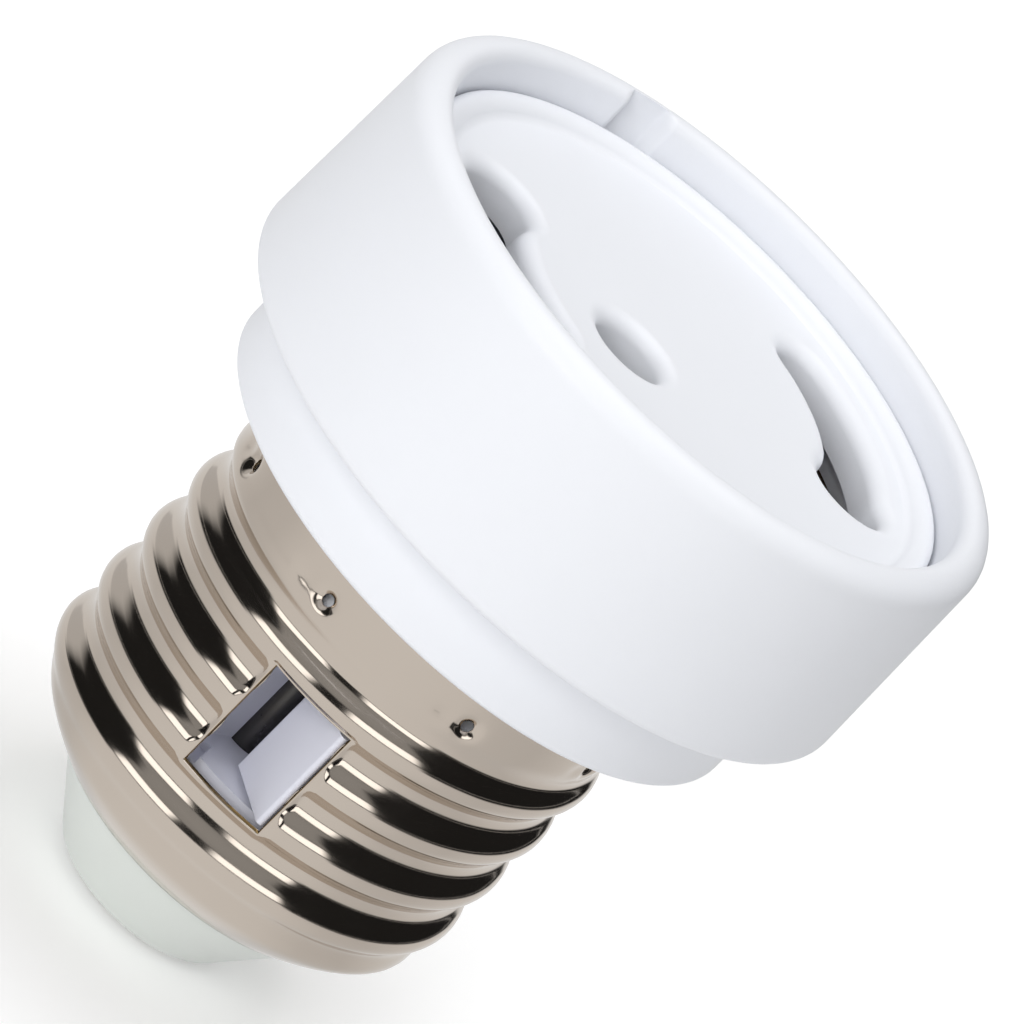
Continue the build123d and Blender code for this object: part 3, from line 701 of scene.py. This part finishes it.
class ADAPTER_OT_metalwork(bpy.types.Operator):
    """Finish the contacts, screws, leads and the lock's steel"""

    bl_idname = "adapter.metalwork"
    bl_label = "Finish metalwork"

    def execute(self, context):
        colours, sizes = context.scene.adapter_colours, context.scene.adapter_sizes
        # Brown glints deep in the keyholes
        bronze = clouded_metal("rolled_spring_bronze", colours.bronze, sizes, roughness=0.36)
        # Cool light grey
        steel = clouded_metal("zinc_plated_steel", colours.steel, sizes, roughness=0.34)
        # Steel of the lock shaft, darkened to paint the deep shade in the gap behind the window
        shaft_shade_steel = clouded_metal("steel_painted_with_gap_shade", colours.shaft_steel_painted_shade, sizes, roughness=0.3)
        # Dull grey
        solder = clouded_metal("soft_solder", colours.solder, sizes, roughness=0.4)
        # Matt cream
        sleeve = moulded_plastic("silicone_sleeve", colours.sleeve, sizes, roughness=0.5)
        finish_nodes(["left_contact", "right_contact"], bronze)
        finish_nodes(["left_contact_screw", "right_contact_screw", "contact_washer"], steel)
        finish_nodes(["lock_washer", "pawl_pin"], steel)
        finish_nodes(["lock_shaft"], shaft_shade_steel)
        finish_nodes(["shell_solder"], solder)
        finish_nodes(["centre_lead", "shell_lead"], sleeve)
        return {"FINISHED"}


class ADAPTER_OT_stage(bpy.types.Operator):
    """Set the floor, the lamps, the world and the camera"""

    bl_idname = "adapter.stage"
    bl_label = "Set stage"

    def execute(self, context):
        scene = context.scene
        sizes = scene.adapter_sizes
        scene.view_settings.view_transform = "Standard"
        self.floor(scene, sizes)
        self.world(scene)
        self.lamps(scene, sizes)
        self.camera(scene, sizes)
        return {"FINISHED"}

    def floor(self, scene, sizes):
        """Lay the floor: white with a soft shadow to the camera, and a dark far floor in reflections."""
        mesh = bpy.data.meshes.new("floor")
        sheet = bmesh.new()
        bmesh.ops.create_grid(sheet, x_segments=1, y_segments=1, size=sizes.floor_width / 2)
        sheet.to_mesh(mesh)
        sheet.free()
        floor = bpy.data.objects.new("floor", mesh)
        scene.collection.objects.link(floor)
        material, tree, surface = new_material("pale_floor")
        surface.inputs["Base Color"].default_value = scene.adapter_colours.floor
        surface.inputs["Roughness"].default_value = 0.9
        surface.inputs["Emission Color"].default_value = WHITE
        path = add(tree, "ShaderNodeLightPath")
        place = add(tree, "ShaderNodeTexCoord").outputs["Object"]
        bearing = add(tree, "ShaderNodeVectorMath", {0: place}, operation="NORMALIZE").outputs[0]
        facing = add(tree, "ShaderNodeVectorMath", {0: bearing, 1: FRONT}, operation="DOT_PRODUCT")
        share = add(
            tree, "ShaderNodeMath", {0: facing.outputs["Value"], 1: 0.5, 2: 0.5}, operation="MULTIPLY_ADD"
        )
        shine = self.bands(tree, share.outputs[0], FLOOR_BEARING)
        ahead, behind = self.sectors(tree, bearing)
        lit = add(tree, "ShaderNodeMath", {0: ahead, 1: behind}, operation="MAXIMUM")
        reach = add(tree, "ShaderNodeVectorMath", {0: place}, operation="LENGTH")
        near = add(
            tree, "ShaderNodeMapRange",
            {"Value": reach.outputs["Value"], "From Min": FAR_FLOOR_END, "From Max": FAR_FLOOR_START},
            interpolation_type="SMOOTHSTEP",
        )
        kept = add(tree, "ShaderNodeMath", {0: lit.outputs[0], 1: near.outputs[0]}, operation="MAXIMUM")
        shaded = add(
            tree, "ShaderNodeMix", {"Factor": kept.outputs[0], "A": FAR_FLOOR, "B": shine}, data_type="RGBA"
        )
        mirrored = add(tree, "ShaderNodeEmission", {"Color": shaded.outputs["Result"]})
        white = add(
            tree, "ShaderNodeMath", {0: self.straight(tree, path), 1: FLOOR_GLOW}, operation="MULTIPLY"
        )
        tree.links.new(white.outputs[0], surface.inputs["Emission Strength"])
        seen = add(
            tree, "ShaderNodeMixShader",
            {0: path.outputs["Is Glossy Ray"], 1: surface.outputs[0], 2: mirrored.outputs[0]},
        )
        tree.links.new(seen.outputs[0], tree.nodes["Material Output"].inputs["Surface"])
        mesh.materials.append(material)

    def world(self, scene):
        """Light the room: white to the camera, even to matt pieces, walls and strips in reflections."""
        world = bpy.data.worlds.new("studio")
        world.use_nodes = True
        scene.world = world
        tree = world.node_tree
        path = add(tree, "ShaderNodeLightPath")
        direction = add(tree, "ShaderNodeTexCoord").outputs["Generated"]
        height = add(tree, "ShaderNodeSeparateXYZ", {"Vector": direction}).outputs["Z"]
        level = add(tree, "ShaderNodeVectorMath", {0: direction, 1: (1, 1, 0)}, operation="MULTIPLY")
        bearing = add(tree, "ShaderNodeVectorMath", {0: level.outputs[0]}, operation="NORMALIZE").outputs[0]
        facing = add(tree, "ShaderNodeVectorMath", {0: bearing, 1: FRONT}, operation="DOT_PRODUCT")
        ahead, behind = self.sectors(tree, bearing)
        dark = self.bands(tree, height, DARK_SIDES)
        panel = self.bands(tree, height, FRONT_PANEL)
        tall = self.bands(tree, height, STRIP_HEIGHT)
        wide = self.bands(tree, facing.outputs["Value"], STRIP_BEARING)
        strip = add(tree, "ShaderNodeMath", {0: tall, 1: wide}, operation="MULTIPLY").outputs[0]
        mirrored = dark
        for share, light in ((ahead, panel), (behind, BACKDROP_LIGHT), (strip, STRIP_LIGHT)):
            mix = add(tree, "ShaderNodeMix", {"Factor": share, "A": mirrored, "B": light}, data_type="RGBA")
            mirrored = mix.outputs["Result"]
        shared = add(
            tree, "ShaderNodeMix",
            {"Factor": path.outputs["Is Glossy Ray"], "A": ROOM_LIGHT, "B": mirrored},
            data_type="RGBA",
        )
        seen = add(
            tree, "ShaderNodeMix",
            {"Factor": self.straight(tree, path), "A": shared.outputs["Result"], "B": WHITE},
            data_type="RGBA",
        )
        tree.links.new(seen.outputs["Result"], tree.nodes["Background"].inputs["Color"])

    def straight(self, tree, path):
        """Share of rays that come straight from the camera or through glass."""
        rays = {0: path.outputs["Is Camera Ray"], 1: path.outputs["Is Transmission Ray"]}
        return add(tree, "ShaderNodeMath", rays, operation="MAXIMUM").outputs[0]

    def sectors(self, tree, bearing):
        """Shares of the front panel and of the lit backdrop behind at a level bearing."""
        shares = []
        for middle, (start, end) in ((FRONT, FRONT_EDGE), (BACKDROP, BACKDROP_EDGE)):
            facing = add(tree, "ShaderNodeVectorMath", {0: bearing, 1: middle}, operation="DOT_PRODUCT")
            share = add(
                tree, "ShaderNodeMapRange",
                {"Value": facing.outputs["Value"], "From Min": start, "From Max": end},
                interpolation_type="SMOOTHSTEP",
            )
            shares.append(share.outputs[0])
        return shares

    def bands(self, tree, along, levels):
        """Bands of light along a height or a bearing, each a place and a brightness."""
        ramp = add(tree, "ShaderNodeValToRGB", {"Fac": along})
        stops = ramp.color_ramp.elements
        while len(stops) < len(levels):
            stops.new(1.0)
        for stop, (place, bright) in zip(stops, levels):
            stop.position = place
            stop.color = (bright, bright, bright, 1)
        return ramp.outputs["Color"]

    def lamps(self, scene, sizes):
        """Hang the soft lamps, which the nickel doesn't mirror."""
        aim = Vector((0, 0, sizes.camera_height))
        for name, place, width, power in LAMPS:
            lamp = bpy.data.lights.new(name, "AREA")
            lamp.shape = "SQUARE"
            lamp.size = width
            lamp.energy = power
            holder = bpy.data.objects.new(name, lamp)
            holder.visible_glossy = False
            holder.location = place
            holder.rotation_euler = (aim - Vector(place)).to_track_quat("-Z", "Y").to_euler()
            scene.collection.objects.link(holder)

    def camera(self, scene, sizes):
        """Set the camera at the photograph's angle and tilt."""
        camera = bpy.data.cameras.new("camera")
        camera.lens = sizes.camera_lens
        camera.sensor_width = 36.0
        camera.clip_start = 0.01
        camera.clip_end = 20.0
        holder = bpy.data.objects.new("camera", camera)
        level = math.cos(sizes.camera_elevation)
        outward = Vector((
            math.sin(sizes.camera_azimuth) * level,
            -math.cos(sizes.camera_azimuth) * level,
            math.sin(sizes.camera_elevation),
        ))
        place = Vector((0, 0, sizes.camera_height)) + outward * sizes.camera_distance
        upright = outward.to_track_quat("Z", "Y").to_matrix().to_4x4()
        rolled = Matrix.Rotation(sizes.camera_roll, 4, "Z")
        holder.matrix_world = Matrix.Translation(place) @ upright @ rolled
        scene.collection.objects.link(holder)
        scene.camera = holder


class ADAPTER_PT_panel(bpy.types.Panel):
    """Sizes, colours and operators of the adapter"""

    bl_idname = "ADAPTER_PT_panel"
    bl_label = "Lamp socket adapter"
    bl_space_type = "VIEW_3D"
    bl_region_type = "UI"
    bl_category = "Adapter"

    def draw(self, context):
        for name in GROUPS:
            group = getattr(context.scene, name)
            for key in group.__annotations__:
                self.layout.prop(group, key)
        for operator in OPERATORS:
            self.layout.operator(operator.bl_idname)


GROUPS = {
    "adapter_colours": AdapterColours,
    "adapter_shell": AdapterShell,
    "adapter_head": AdapterHead,
    "adapter_face": AdapterFace,
    "adapter_sizes": AdapterSizes,
}
OPERATORS = (
    ADAPTER_OT_shell,
    ADAPTER_OT_head,
    ADAPTER_OT_face,
    ADAPTER_OT_mouldings,
    ADAPTER_OT_metalwork,
    ADAPTER_OT_stage,
)
CLASSES = tuple(GROUPS.values()) + OPERATORS + (ADAPTER_PT_panel,)


def register():
    """Register the classes and give the scene its groups."""
    for cls in CLASSES:
        bpy.utils.register_class(cls)
    for name, group in GROUPS.items():
        setattr(bpy.types.Scene, name, PointerProperty(type=group))


def unregister():
    """Take the groups off the scene and unregister the classes."""
    for name in GROUPS:
        delattr(bpy.types.Scene, name)
    for cls in reversed(CLASSES):
        bpy.utils.unregister_class(cls)


def main():
    """Build the adapter and its stage."""
    register()
    bpy.ops.adapter.shell()
    bpy.ops.adapter.head()
    bpy.ops.adapter.face()
    bpy.ops.adapter.mouldings()
    bpy.ops.adapter.metalwork()
    bpy.ops.adapter.stage()


if __name__ == "__main__":
    main()
